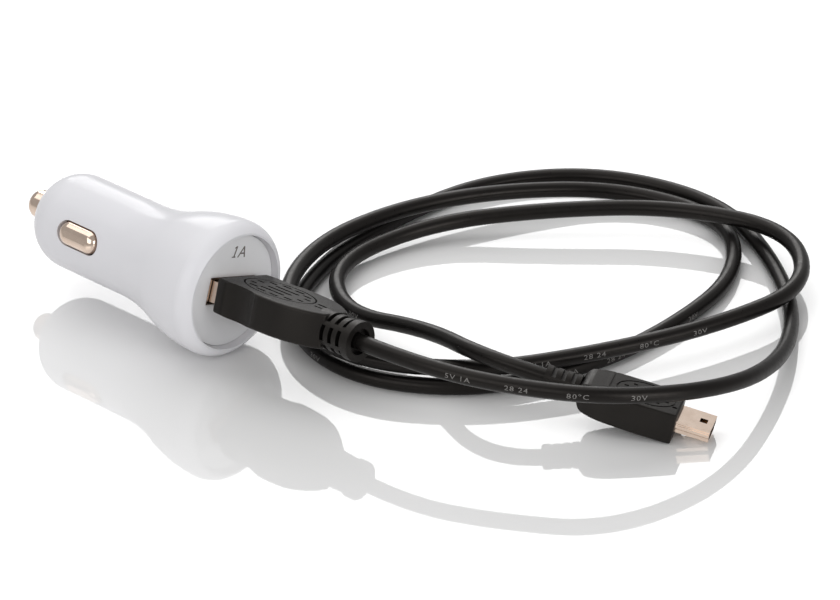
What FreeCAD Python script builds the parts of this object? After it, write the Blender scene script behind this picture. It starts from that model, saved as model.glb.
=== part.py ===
import FreeCAD, Part
import math
import os

import Sketcher

from FreeCAD import Placement, Rotation, Vector

# A 12 V car charger with one USB-A port, its USB-A plug pushed in, and the plug's
# cord lying in three loose turns up to a mini-B plug. Millimetres, +Z up.
#
# Charger pieces are drawn in the charger's own frame: X runs along the round body,
# 0 at the rim plane of the face and negative towards the nose, Y runs along the
# port's long side and Z across its short side. Mini-B pieces have X = 0 at the
# front of their moulding, with the metal nose at positive X.

DIMENSIONS = {
    # round body
    "body_length": 55.4,
    "head_radius": 14.9,
    "rim_drop": 2.0,
    "rim_depth": 3.5,
    "flare_end": 28.0,
    "barrel_radius": 10.4,
    "nose_radius": 9.0,
    "wall": 1.5,
    "roll_angle": -18.0,
    # face
    "rim_flat": 0.4,
    "face_bevel": 0.3,
    "face_recess": 1.6,
    "face_thickness": 1.6,
    "face_fit": 0.08,
    "ledge_width": 1.0,
    "ledge_depth": 9.0,
    # contacts at the nose and the sides
    "pin_reach": 5.3,
    "pin_radius": 3.1,
    "pin_clearance": 0.15,
    "flange_radius": 4.2,
    "flange_thickness": 1.0,
    "spring_length": 6.4,
    "spring_radius": 2.6,
    "spring_wire": 0.5,
    "spring_turns": 5.0,
    "guide_length": 2.4,
    "cup_thickness": 0.5,
    "slot_distance": 37.2,
    "slot_length": 12.0,
    "slot_width": 5.5,
    "slot_clearance": 0.2,
    "pad_proud": 1.0,
    "pad_travel": 0.9,
    "pad_crown": 1.9,
    "plate_length": 14.0,
    "plate_thickness": 0.6,
    "plate_gap": 0.7,
    "leaf_thickness": 0.25,
    "leaf_height": 4.0,
    "leaf_rise": 2.4,
    # port and board
    "port_width": 13.1,
    "port_height": 5.7,
    "port_depth": 13.7,
    "port_wall": 0.3,
    "port_window_gap": 0.15,
    "tongue_play": 0.15,
    "tongue_low": 0.4,
    "tongue_thickness": 1.25,
    "tongue_base": 1.7,
    "tongue_setback": 1.8,
    "board_thickness": 1.2,
    "board_gap": 0.4,
    "board_edge_gap": 0.05,
    "board_notch_gap": 0.25,
    "coil_radius": 4.0,
    "coil_height": 4.8,
    "can_radius": 2.5,
    "can_height": 7.0,
    "chip_length": 5.0,
    "chip_width": 3.9,
    "chip_height": 1.5,
    # USB-A plug
    "plug_tilt": 2.0,
    "plug_pivot": 5.9,
    "plug_depth": 10.9,
    "plug_side_play": 0.25,
    "plug_high_play": 0.3,
    "shell_wall": 0.3,
    "shell_buried": 6.0,
    "grip_gap": 0.9,
    "grip_wall": 1.3,
    "grip_bulge": 0.9,
    "grip_cover": 1.5,
    "grip_shoulder": 17.0,
    "grip_tail": 28.0,
    "grip_neck": 3.4,
    "relief_radius": 4.0,
    "relief_end": 35.5,
    "collar_radius": 4.3,
    "collar_length": 1.8,
    # mini-B plug
    "mini_heading": 28.6,
    "mini_pitch": 12.0,
    "mini_nose": 7.2,
    "mini_width": 6.8,
    "mini_thick": 3.0,
    "mini_wall": 0.25,
    "mini_buried": 4.0,
    "mini_grip_wall": 1.5,
    "mini_grip_cover": 2.0,
    "mini_grip_length": 21.0,
    "mini_neck": 2.5,
    "mini_relief_radius": 2.7,
    "mini_relief_end": 28.5,
    # cord
    "cord_diameter": 3.5,
}

# Where the mini-B plug's moulding meets the floor, and the cord's hand-laid route.
MINI_SPOT = (119.1, 38.2)
FLOOR_GAP = 0.05
LEAD_OUT = 13.0

CORD_ROUTE = [
    (97.0, 6.5, 15.9),
    (118.0, 19.5, 15.4),
    (127.0, 44.5, 11.2),
    (120.0, 70.0, 5.0),
    (104.5, 92.0, 1.9),
    (83.5, 108.5, 1.8),
    (59.5, 120.0, 1.8),
    (32.0, 113.5, 1.8),
    (15.5, 93.0, 1.8),
    (13.0, 66.5, 1.8),
    (16.0, 40.0, 1.8),
    (29.0, 15.5, 1.8),
    (54.0, 6.5, 1.8),
    (77.5, 19.0, 1.8),
    (89.0, 44.0, 1.8),
    (90.0, 70.0, 1.8),
    (85.0, 96.0, 1.8),
    (66.5, 115.0, 1.8),
    (41.0, 109.5, 2.5),
    (25.0, 87.5, 4.8),
    (15.5, 62.5, 5.9),
    (15.0, 36.5, 5.9),
    (29.5, 13.0, 5.9),
    (56.0, 6.8, 5.9),
    (78.5, 22.0, 5.7),
    (91.5, 45.0, 5.9),
    (101.0, 70.0, 5.9),
    (104.5, 96.5, 6.1),
    (84.5, 114.5, 6.1),
    (59.0, 105.0, 6.2),
    (39.5, 85.5, 5.8),
    (22.5, 66.0, 3.6),
    (19.5, 39.5, 2.8),
    (38.0, 24.0, 3.4),
    (61.5, 25.0, 8.2),
]


doc = FreeCAD.newDocument("usb_car_charger")
sheet = doc.addObject("Spreadsheet::Sheet", "Dims")
for row, (alias, value) in enumerate(DIMENSIONS.items(), start=1):
    sheet.set("A%d" % row, alias)
    sheet.set("B%d" % row, str(value))
    sheet.setAlias("B%d" % row, alias)
doc.recompute()


def expand(expression):
    """An expression in plain aliases, with the sheet's name put before each one."""
    words = []
    word = ""
    for letter in str(expression) + " ":
        if letter.isalnum() or letter in "_.":
            word += letter
            continue
        words.append("Dims." + word if word in DIMENSIONS else word)
        words.append(letter)
        word = ""
    return "".join(words).strip()


def size(expression):
    """The number that an expression of sheet aliases gives, in millimetres or degrees."""
    return float(sheet.evalExpression(expand(expression)))


def bind(thing, **sizes):
    """Bind properties of a feature to sheet expressions."""
    for name, expression in sizes.items():
        thing.setExpression(name, expand(expression))


sub_parts = []


def keep(thing, label, placement):
    """Name a finished sub-part and stand it in its place."""
    thing.Label = label
    thing.Placement = placement
    sub_parts.append(thing)
    return thing


# --- drawing helpers ------------------------------------------------------------

def new_body(name):
    return doc.addObject("PartDesign::Body", name)


def plane(body, role):
    """One of a body's own origin planes, such as XY_Plane."""
    return next(item for item in body.Origin.OriginFeatures if item.Role == role)


def sketch_on(body, name, role, offset="0"):
    sketch = body.newObject("Sketcher::SketchObject", name)
    sketch.AttachmentSupport = [(plane(body, role), "")]
    sketch.MapMode = "FlatFace"
    sketch.setExpression(".AttachmentOffset.Base.z", expand(offset))
    return sketch


def arc_between(start, end, radius):
    """The short arc of a radius from start to end, which bulges to the right of the way
    there, or to the left where the radius is negative. Returns the arc, which always
    runs anticlockwise, and whether it begins at start (1) or ends there (2)."""
    chord = end - start
    half = chord.Length / 2
    drop = math.sqrt(radius * radius - half * half)
    left = Vector(-chord.y, chord.x, 0).normalize()
    clockwise = radius < 0
    centre = (start + end) / 2 + left * (-drop if clockwise else drop)
    first, second = (end, start) if clockwise else (start, end)
    first_angle = math.atan2(first.y - centre.y, first.x - centre.x)
    second_angle = math.atan2(second.y - centre.y, second.x - centre.x)
    if second_angle < first_angle:
        second_angle += 2 * math.pi
    ring = Part.Circle(centre, Vector(0, 0, 1), abs(radius))
    return Part.ArcOfCircle(ring, first_angle, second_angle), 2 if clockwise else 1


def outline(body, name, role, corners, offset="0"):
    """A closed sketch. A corner is (across, up), or (across, up, radius) where the side
    that starts there is an arc; its points and radii are bound to sheet expressions."""
    sketch = sketch_on(body, name, role, offset)
    spots = [Vector(size(corner[0]), size(corner[1]), 0) for corner in corners]
    count = len(corners)
    starts = []
    for index, corner in enumerate(corners):
        start, end = spots[index], spots[(index + 1) % count]
        if len(corner) == 3:
            arc, which_end = arc_between(start, end, size(corner[2]))
            sketch.addGeometry(arc, False)
            starts.append(which_end)
        else:
            sketch.addGeometry(Part.LineSegment(start, end), False)
            starts.append(1)
    for index in range(count):
        following = (index + 1) % count
        end_of_this = 3 - starts[index]
        sketch.addConstraint(
            Sketcher.Constraint("Coincident", index, end_of_this, following, starts[following]))
    for index, corner in enumerate(corners):
        for kind, expression in (("DistanceX", corner[0]), ("DistanceY", corner[1])):
            number = sketch.addConstraint(
                Sketcher.Constraint(kind, -1, 1, index, starts[index], size(expression)))
            sketch.setExpression("Constraints[%d]" % number, expand(expression))
        if len(corner) == 3:
            number = sketch.addConstraint(
                Sketcher.Constraint("Radius", index, abs(size(corner[2]))))
            sketch.setExpression("Constraints[%d]" % number, expand("abs(%s)" % corner[2]))
    return sketch


def circle(body, name, role, radius, offset="0"):
    sketch = sketch_on(body, name, role, offset)
    sketch.addGeometry(Part.Circle(Vector(0, 0, 0), Vector(0, 0, 1), size(radius)), False)
    sketch.addConstraint(Sketcher.Constraint("Coincident", 0, 3, -1, 1))
    number = sketch.addConstraint(Sketcher.Constraint("Radius", 0, size(radius)))
    sketch.setExpression("Constraints[%d]" % number, expand(radius))
    return sketch


def turned(body, kind, name, sketch, axis="H_Axis"):
    """A full Revolution or Groove of a sketch about one of its own axes."""
    feature = body.newObject("PartDesign::" + kind, name)
    feature.Profile = sketch
    feature.ReferenceAxis = (sketch, [axis])
    feature.Angle = 360.0
    return feature


def pushed(body, kind, name, sketch, length=None, midplane=False, reversed_way=False):
    """A Pad or Pocket of a sketch, to a bound length or, without one, through all."""
    feature = body.newObject("PartDesign::" + kind, name)
    feature.Profile = sketch
    feature.Midplane = midplane
    feature.Reversed = reversed_way
    if length is None:
        feature.Type = "ThroughAll"
    else:
        bind(feature, Length=length)
    return feature


def box(name, corner, sides):
    """A box from its lowest corner and its three sides, each a sheet expression."""
    block = doc.addObject("Part::Box", name)
    bind(block, Length=sides[0], Width=sides[1], Height=sides[2])
    for axis, expression in zip("xyz", corner):
        block.setExpression(".Placement.Base." + axis, expand(expression))
    return block


def centred_box(name, x_low, length, width, height, y_middle="0", z_middle="0"):
    """A box from x_low along X, centred on y_middle and z_middle."""
    corner = (x_low, "%s - (%s) / 2" % (y_middle, width), "%s - (%s) / 2" % (z_middle, height))
    return box(name, corner, (length, width, height))


def cut(name, base, tool):
    result = doc.addObject("Part::Cut", name)
    result.Base = base
    result.Tool = tool
    return result


def fuse(name, pieces):
    result = doc.addObject("Part::MultiFuse", name)
    result.Shapes = pieces
    result.Refine = True
    return result


def group(name, pieces):
    """Separate like solids that share one sub-part, or one box that is placed as a whole."""
    result = doc.addObject("Part::Compound", name)
    result.Links = pieces
    return result


# --- sizes worked out from the driving ones ---------------------------------------

# Across the face: the disc sits in a seat inside the bevel and the rim.
RIM_RADIUS = "(head_radius - rim_drop)"
MOUTH_RADIUS = "(head_radius - rim_drop - rim_flat)"
FACE_SEAT = "(head_radius - rim_drop - rim_flat - face_bevel)"
FACE_RADIUS = "(%s - face_fit)" % FACE_SEAT
BORE = "(barrel_radius - wall)"

# Along the charger's axis: the pin's flange stops against the inside of the dome, the
# nose spring sits behind it, and the cup and the board begin where the spring ends.
DOME_CENTRE = "(nose_radius - body_length)"
FLANGE_OFF_CENTRE = "(flange_radius - barrel_radius + nose_radius)"
FLANGE_FRONT = "(%s - sqrt((nose_radius - wall) ^ 2 - %s ^ 2) + 0.05)" % (
    DOME_CENTRE, FLANGE_OFF_CENTRE)
FLANGE_BACK = "(%s + flange_thickness)" % FLANGE_FRONT
CUP_FRONT = "(%s + spring_length)" % FLANGE_BACK
PORT_BACK = "(-face_recess - port_depth)"
BOARD_TOP = "(-port_height / 2)"
BOARD_FRONT = "(-face_recess - face_thickness - board_gap)"
BOARD_BACK = "(%s + cup_thickness)" % CUP_FRONT

# A ground contact's plate lies under the bore; the leaf's crest touches its back.
PLATE_INNER = "(%s - plate_gap - plate_thickness)" % BORE

# The plug's shell fits the port and the tongue fits the shell, each with its play.
SHELL_WIDTH = "(port_width - 2 * port_wall - 2 * plug_side_play)"
SHELL_HEIGHT = "(port_height - 2 * port_wall - 2 * plug_high_play)"
SHELL_INNER_WIDTH = "(%s - 2 * shell_wall)" % SHELL_WIDTH
SHELL_INNER_HEIGHT = "(%s - 2 * shell_wall)" % SHELL_HEIGHT
SHELL_BACK = "(grip_gap + shell_buried)"
GRIP_FRONT = "(%s / 2 + grip_wall)" % SHELL_WIDTH
GRIP_MIDDLE = "(%s + grip_bulge)" % GRIP_FRONT
GRIP_HEIGHT = "(%s + 2 * grip_cover)" % SHELL_HEIGHT
MINI_HALF = "(mini_width / 2 + mini_grip_wall)"
MINI_HEIGHT = "(mini_thick + 2 * mini_grip_cover)"


# --- frames ---------------------------------------------------------------------

# The round body stands with its head on the floor and is centred on X, so the
# face's rim plane is half the charger's whole length from the origin.
X_AXIS = Vector(1, 0, 0)
Y_AXIS = Vector(0, 1, 0)
Z_AXIS = Vector(0, 0, 1)
charger = Placement(
    Vector(size("(body_length + pin_reach) / 2"), 0, size("head_radius")),
    Rotation(X_AXIS, size("roll_angle")))

# The plug leans up a little in the port's play, about the middle of its shell.
pivot = Vector(-size("plug_pivot"), 0, 0)
lean = Placement(Vector(0, 0, 0), Rotation(Y_AXIS, -size("plug_tilt")), pivot)
plug = charger.multiply(lean)

mini_turn = Rotation(Z_AXIS, size("mini_heading")).multiply(Rotation(Y_AXIS, size("mini_pitch")))
mini_rise = size(MINI_HEIGHT) / 2 * math.cos(math.radians(size("mini_pitch"))) + FLOOR_GAP
mini = Placement(Vector(MINI_SPOT[0], MINI_SPOT[1], mini_rise), mini_turn)


# --- body shell and face --------------------------------------------------------

def make_body_shell():
    """The one-piece round body: flared head, barrel, domed nose, two side slots."""
    body = new_body("BodyShell")
    middle_x = "-(rim_depth + flare_end) / 2"
    middle_r = "(head_radius + barrel_radius) / 2"
    half_run = "((flare_end - rim_depth) / 2)"
    half_drop = "((head_radius - barrel_radius) / 2)"
    flare = "(%s ^ 2 + %s ^ 2) / (2 * %s)" % (half_run, half_drop, half_drop)
    rim = "(rim_depth ^ 2 + rim_drop ^ 2) / (2 * rim_drop)"
    outside = outline(body, "Outside", "XY_Plane", [
        ("0", "0"),
        ("0", RIM_RADIUS, rim),
        ("-rim_depth", "head_radius", flare),
        (middle_x, middle_r, "-(%s)" % flare),
        ("-flare_end", "barrel_radius"),
        (DOME_CENTRE, "barrel_radius", "nose_radius"),
        ("-body_length", "barrel_radius - nose_radius"),
        ("-body_length", "0"),
    ])
    turned(body, "Revolution", "Solid", outside)

    seat = "-(face_recess + face_thickness)"
    ledge = FACE_RADIUS + " - ledge_width"
    cavity = outline(body, "Cavity", "XY_Plane", [
        ("1", "0"),
        ("1", MOUTH_RADIUS),
        ("0", MOUTH_RADIUS),
        ("-face_recess", FACE_SEAT),
        (seat, FACE_SEAT),
        (seat, ledge),
        ("-ledge_depth", ledge),
        ("-flare_end", BORE),
        (DOME_CENTRE, BORE, "nose_radius - wall"),
        ("wall - body_length", "barrel_radius - nose_radius"),
        ("wall - body_length", "0"),
    ])
    turned(body, "Groove", "Hollow", cavity)

    hole = "pin_radius + pin_clearance"
    pin_hole = outline(body, "PinHole", "XY_Plane", [
        ("-body_length - 1", "0"),
        ("-body_length - 1", hole),
        ("1 + wall - body_length", hole),
        ("1 + wall - body_length", "0"),
    ])
    turned(body, "Groove", "NoseHole", pin_hole)

    slots = slot_outline(body, "SideSlots", "slot_length", "slot_width")
    pushed(body, "Pocket", "Slots", slots, midplane=True)
    return keep(body, "body_shell", charger)


def slot_outline(body, name, length, width, offset="0"):
    """A round-ended slot on the XZ plane, centred on the side contacts."""
    near = "-slot_distance + (%s - %s) / 2" % (length, width)
    far = "-slot_distance - (%s - %s) / 2" % (length, width)
    half = "(%s) / 2" % width
    sketch = sketch_on(body, name, "XZ_Plane", offset)
    x_near, x_far, radius = size(near), size(far), size(half)
    right = Part.Arc(Vector(x_near, -radius, 0), Vector(x_near + radius, 0, 0),
                     Vector(x_near, radius, 0))
    left = Part.Arc(Vector(x_far, radius, 0), Vector(x_far - radius, 0, 0),
                    Vector(x_far, -radius, 0))
    sketch.addGeometry(right, False)
    sketch.addGeometry(Part.LineSegment(Vector(x_near, radius, 0), Vector(x_far, radius, 0)), False)
    sketch.addGeometry(left, False)
    sketch.addGeometry(Part.LineSegment(Vector(x_far, -radius, 0), Vector(x_near, -radius, 0)), False)
    for first, second in ((0, 1), (1, 2), (2, 3), (3, 0)):
        sketch.addConstraint(Sketcher.Constraint("Coincident", first, 2, second, 1))
    for geometry, x_place in ((0, near), (2, far)):
        for kind, expression in (("DistanceX", x_place), ("DistanceY", "0")):
            number = sketch.addConstraint(
                Sketcher.Constraint(kind, -1, 1, geometry, 3, size(expression)))
            sketch.setExpression("Constraints[%d]" % number, expand(expression))
        number = sketch.addConstraint(Sketcher.Constraint("Radius", geometry, radius))
        sketch.setExpression("Constraints[%d]" % number, expand(half))
        sketch.addConstraint(Sketcher.Constraint("Vertical", geometry, 1, geometry, 2))
    return sketch


def make_face_plate():
    """The flat disc in the mouth of the head, with a window for the port."""
    body = new_body("FacePlate")
    back = "-(face_recess + face_thickness)"
    disc = circle(body, "Disc", "YZ_Plane", FACE_RADIUS, back)
    pushed(body, "Pad", "Plate", disc, "face_thickness")
    half_width = "port_width / 2 + port_window_gap"
    half_height = "port_height / 2 + port_window_gap"
    window = outline(body, "Window", "YZ_Plane", [
        ("-(%s)" % half_width, "-(%s)" % half_height),
        (half_width, "-(%s)" % half_height),
        (half_width, half_height),
        ("-(%s)" % half_width, half_height),
    ])
    pushed(body, "Pocket", "PortWindow", window, midplane=True)
    return keep(body, "face_plate", charger)


# --- contacts -------------------------------------------------------------------

def make_centre_contact():
    """The sprung nose pin: round tip, shank, flange behind the wall, spring guide."""
    body = new_body("CentreContact")
    tip = "-body_length - pin_reach"
    guide = "(spring_radius - spring_wire - 0.4)"
    profile = outline(body, "Profile", "XY_Plane", [
        (tip, "0"),
        (tip, "pin_radius / 3", "-2 * pin_radius / 3"),
        (tip + " + 2 * pin_radius / 3", "pin_radius"),
        (FLANGE_FRONT, "pin_radius"),
        (FLANGE_FRONT, "flange_radius"),
        (FLANGE_BACK, "flange_radius"),
        (FLANGE_BACK, guide),
        (FLANGE_BACK + " + guide_length", guide),
        (FLANGE_BACK + " + guide_length", "0"),
    ])
    turned(body, "Revolution", "Turned", profile)
    return keep(body, "centre_contact", charger)


def make_centre_spring():
    """The coil spring between the pin's flange and the cup on the board."""
    wire = size("spring_wire")
    radius = size("spring_radius") - wire / 2
    rise = size("spring_length") - wire
    start = Placement(Vector(size(FLANGE_BACK) + wire / 2, 0, 0), Rotation(Y_AXIS, 90))
    helix = Part.makeHelix(rise / size("spring_turns"), rise, radius)
    section = Part.Wire(Part.Circle(Vector(radius, 0, 0), Y_AXIS, wire / 2).toShape())
    coil = Part.Wire(helix.Edges).makePipeShell([section], True, True)
    spring = doc.addObject("Part::Feature", "CentreSpring")
    spring.Shape = coil
    return keep(spring, "centre_spring", charger.multiply(start))


def make_spring_cup():
    """The bent metal cup on the board's end that the nose spring pushes against."""
    disc = doc.addObject("Part::Cylinder", "CupDisc")
    bind(disc, Radius="flange_radius", Height="cup_thickness")
    disc.Placement.Rotation = Rotation(Y_AXIS, 90)
    disc.setExpression(".Placement.Base.x", expand(CUP_FRONT))
    foot = box("CupFoot", (CUP_FRONT, "-2", BOARD_TOP), ("4.5", "4", "cup_thickness"))
    web = box("CupWeb", (CUP_FRONT, "-2", BOARD_TOP), ("cup_thickness", "4", "port_height / 2"))
    return keep(fuse("Cup", [disc, foot, web]), "spring_cup", charger)


def make_ground_contact(label, side):
    """A domed pad in a side slot with its wider plate inside; side is -1 or 1 along Y."""
    body = new_body(label.title().replace("_", ""))
    pad_top = "barrel_radius + pad_proud"
    pad_length = "slot_length - 2 * slot_clearance"
    pad_width = "slot_width - 2 * slot_clearance"
    away = -side
    plate_start = "%d * %s" % (away, PLATE_INNER)
    plate = slot_outline(body, "PlateOutline", "plate_length", "slot_width - 0.3", plate_start)
    pushed(body, "Pad", "Plate", plate, "plate_thickness", reversed_way=side > 0)
    pad = slot_outline(body, "PadOutline", pad_length, pad_width, plate_start)
    boss = pushed(body, "Pad", "Boss", pad, "%s - %s" % (pad_top, PLATE_INNER),
                  reversed_way=side > 0)
    doc.recompute()
    top = side * size(pad_top)
    rim = ["Edge%d" % (number + 1) for number, edge in enumerate(boss.Shape.Edges)
           if all(abs(vertex.Point.y - top) < 1e-4 for vertex in edge.Vertexes)]
    crown = body.newObject("PartDesign::Fillet", "Crown")
    crown.Base = (boss, rim)
    bind(crown, Radius="pad_crown")
    body.Tip = crown
    return keep(body, label, charger)


def make_ground_spring(label, side):
    """The bowed leaf that stands on the board and pushes a ground contact outwards."""
    body = new_body(label.title().replace("_", ""))
    half = "(plate_length / 2 - 1)"
    bow = "(%s ^ 2 + leaf_rise ^ 2) / (2 * leaf_rise)" % half
    low = "%d * (%s - leaf_rise)" % (side, PLATE_INNER)
    inner_low = "%d * (%s - leaf_rise - leaf_thickness)" % (side, PLATE_INNER)
    near = "-slot_distance + %s" % half
    far = "-slot_distance - %s" % half
    leaf = outline(body, "Leaf", "XY_Plane", [
        (far, low, "%d * %s" % (-side, bow)),
        (near, low),
        (near, inner_low, "%d * (%s)" % (side, bow)),
        (far, inner_low),
    ], BOARD_TOP)
    pushed(body, "Pad", "Strip", leaf, "leaf_height")
    return keep(body, label, charger)


# --- port and board -------------------------------------------------------------

def make_port():
    """The USB-A receptacle: folded metal shell, moulded tongue and four contacts."""
    outside = centred_box("PortOutside", PORT_BACK, "port_depth", "port_width", "port_height")
    hollow = centred_box("PortHollow", PORT_BACK + " + port_wall", "port_depth",
                         "port_width - 2 * port_wall", "port_height - 2 * port_wall")
    keep(cut("PortShell", outside, hollow), "usb_port_shell", charger)

    base = centred_box("TongueBase", PORT_BACK + " + port_wall", "tongue_base",
                       "port_width - 2 * port_wall", "port_height - 2 * port_wall")
    tongue_start = PORT_BACK + " + port_wall + tongue_base / 2"
    tongue_length = "port_depth - port_wall - tongue_base / 2 - tongue_setback"
    tongue = centred_box("Tongue", tongue_start, tongue_length,
                         "%s - 2 * tongue_play" % SHELL_INNER_WIDTH,
                         "tongue_thickness", z_middle="tongue_low + tongue_thickness / 2")
    keep(fuse("TongueBlock", [base, tongue]), "usb_port_tongue", charger)

    strips = []
    for number, middle in enumerate(("-3.5", "-1", "1", "3.5")):
        strips.append(centred_box("PortStrip%d" % number, PORT_BACK + " + port_wall + tongue_base",
                                  "port_depth - port_wall - tongue_base - tongue_setback - 0.5",
                                  "1", "0.1", middle, "tongue_low - 0.05"))
    keep(group("PortStrips", strips), "usb_port_contacts", charger)


def make_board():
    """The circuit board under the port, a close fit across the barrel's bore."""
    low = "(port_height / 2 + board_thickness)"
    half = "(sqrt(%s ^ 2 - %s ^ 2) - board_edge_gap)" % (BORE, low)
    middle_z = "%s - board_thickness / 2" % BOARD_TOP
    board = centred_box("Board", BOARD_BACK, "%s - (%s)" % (BOARD_FRONT, BOARD_BACK),
                        "2 * " + half, "board_thickness", z_middle=middle_z)
    notches = []
    for side in (-1, 1):
        middle_y = "%d * (%s - pad_travel - board_notch_gap + %s / 2)" % (side, PLATE_INNER, half)
        notches.append(centred_box("BoardNotch%d" % (side + 1), "-slot_distance - plate_length / 2 - 0.5",
                                   "plate_length + 1", half, "2 * board_thickness",
                                   middle_y, middle_z))
    return keep(cut("NotchedBoard", board, fuse("BoardNotches", notches)), "circuit_board", charger)


def make_inductor():
    """The drum-core choke: two flanges and a post, with its copper winding between."""
    body = new_body("InductorCore")
    flange = "coil_height / 6"
    top = "coil_height"
    core = outline(body, "Drum", "XZ_Plane", [
        ("0", "0"),
        ("coil_radius", "0"),
        ("coil_radius", flange),
        ("coil_radius / 2", flange),
        ("coil_radius / 2", "%s - %s" % (top, flange)),
        ("coil_radius", "%s - %s" % (top, flange)),
        ("coil_radius", top),
        ("0", top),
    ])
    turned(body, "Revolution", "Core", core, "V_Axis")
    spot = Placement(Vector(size("-face_recess - port_depth - coil_radius - 1"), 0, size(BOARD_TOP)),
                     Rotation())
    keep(body, "inductor_core", charger.multiply(spot))

    body = new_body("InductorWinding")
    winding = outline(body, "Winding", "XZ_Plane", [
        ("coil_radius / 2", flange),
        ("coil_radius * 0.9", flange),
        ("coil_radius * 0.9", "%s - %s" % (top, flange)),
        ("coil_radius / 2", "%s - %s" % (top, flange)),
    ])
    turned(body, "Revolution", "Copper", winding, "V_Axis")
    keep(body, "inductor_winding", charger.multiply(spot))


def make_capacitor(label, y_way):
    """An upright can capacitor with a crimped waist near its foot."""
    body = new_body(label.title().replace("_", ""))
    waist = "can_radius - 0.25"
    can = outline(body, "Can", "XZ_Plane", [
        ("0", "0"),
        ("can_radius", "0"),
        ("can_radius", "0.9"),
        (waist, "1.15"),
        ("can_radius", "1.4"),
        ("can_radius", "can_height - 0.3"),
        ("can_radius - 0.3", "can_height"),
        ("0", "can_height"),
    ])
    turned(body, "Revolution", "Sleeve", can, "V_Axis")
    x_middle = size("-face_recess - port_depth - 2 * coil_radius - can_radius - 1.6")
    spot = Placement(Vector(x_middle, y_way * size("can_radius + 0.3"), size(BOARD_TOP)), Rotation())
    return keep(body, label, charger.multiply(spot))


def on_board(name, x_low, length, width, height, y_middle="0"):
    """A block that stands on the board's top face."""
    return centred_box(name, x_low, length, width, height, y_middle,
                       "%s + (%s) / 2" % (BOARD_TOP, height))


CHIP_BACK = "(-face_recess - port_depth - 2 * coil_radius - 2 * can_radius - 2.6 - chip_length)"


def make_small_parts():
    """The regulator with its leads, the diode, the fuse and the chip parts."""
    chip = on_board("Chip", CHIP_BACK, "chip_length", "chip_width", "chip_height")
    keep(group("ChipGroup", [chip]), "regulator_chip", charger)

    leads = []
    for side in (-1, 1):
        for number in range(4):
            x_low = "%s + chip_length / 8 + %d * chip_length / 4 - 0.2" % (CHIP_BACK, number)
            leads.append(on_board("Lead%d_%d" % (side + 1, number), x_low, "0.4", "0.9", "0.5",
                                  "%d * (chip_width / 2 + 0.45)" % side))
    keep(group("LeadGroup", leads), "regulator_leads", charger)

    diode = on_board("Diode", CHIP_BACK + " - 4", "3.2", "2.6", "2", "-1.9")
    keep(group("DiodeGroup", [diode]), "diode", charger)
    fuse_block = on_board("FuseBlock", CHIP_BACK + " - 4", "3.2", "1.6", "0.9", "1.9")
    keep(group("FuseGroup", [fuse_block]), "fuse", charger)

    chips = []
    for number, y_middle in enumerate(("-6.2", "-4.8", "4.8", "6.2")):
        chips.append(on_board("ChipPart%d" % number, "-face_recess - port_depth - coil_radius",
                              "1.6", "0.8", "0.5", y_middle))
    keep(group("ChipParts", chips), "chip_parts", charger)


# --- USB-A plug -----------------------------------------------------------------

def make_usb_a_plug():
    """The plug's metal shell, insulator, contacts and hard inner moulding."""
    shell_length = "plug_depth + " + SHELL_BACK
    outside = centred_box("PlugOutside", "-plug_depth", shell_length, SHELL_WIDTH, SHELL_HEIGHT)
    hollow = centred_box("PlugHollow", "-plug_depth - 1", shell_length + " + 2",
                         SHELL_INNER_WIDTH, SHELL_INNER_HEIGHT)
    holes = [hollow]
    for number, y_middle in enumerate(("-2.7", "2.7")):
        holes.append(centred_box("LatchHole%d" % number, "-plug_depth + 5", "2.5", "2.5",
                                 "2 * " + SHELL_HEIGHT, y_middle))
    keep(cut("PlugShell", outside, fuse("PlugHoles", holes)), "usb_a_shell", plug)

    bed = centred_box("PlugBed", "-plug_depth + 0.5", shell_length + " - 0.5", SHELL_INNER_WIDTH,
                      "%s / 2 - 0.05" % SHELL_INNER_HEIGHT,
                      z_middle="-%s / 4 - 0.025" % SHELL_INNER_HEIGHT)
    keep(group("PlugBedGroup", [bed]), "usb_a_insulator", plug)

    strips = []
    for number, middle in enumerate(("-3.5", "-1", "1", "3.5")):
        strips.append(centred_box("PlugStrip%d" % number, "-plug_depth + 1.2",
                                  shell_length + " - 1.2", "1", "0.08", middle, "-0.01"))
    keep(group("PlugStrips", strips), "usb_a_contacts", plug)

    core = centred_box("PlugCore", SHELL_BACK, "9", SHELL_WIDTH + " - 2", SHELL_HEIGHT + " - 0.4")
    keep(group("PlugCoreGroup", [core]), "usb_a_inner_mould", plug)
    return outside, core


def solid_copy(name, source):
    """A second box with the size and place of a first one, to cut with."""
    twin = doc.addObject("Part::Box", name)
    for side in ("Length", "Width", "Height"):
        twin.setExpression(side, "%s.%s" % (source.Name, side))
    for axis in "xyz":
        twin.setExpression(".Placement.Base." + axis,
                           "%s.Placement.Base.%s" % (source.Name, axis))
    return twin


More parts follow.
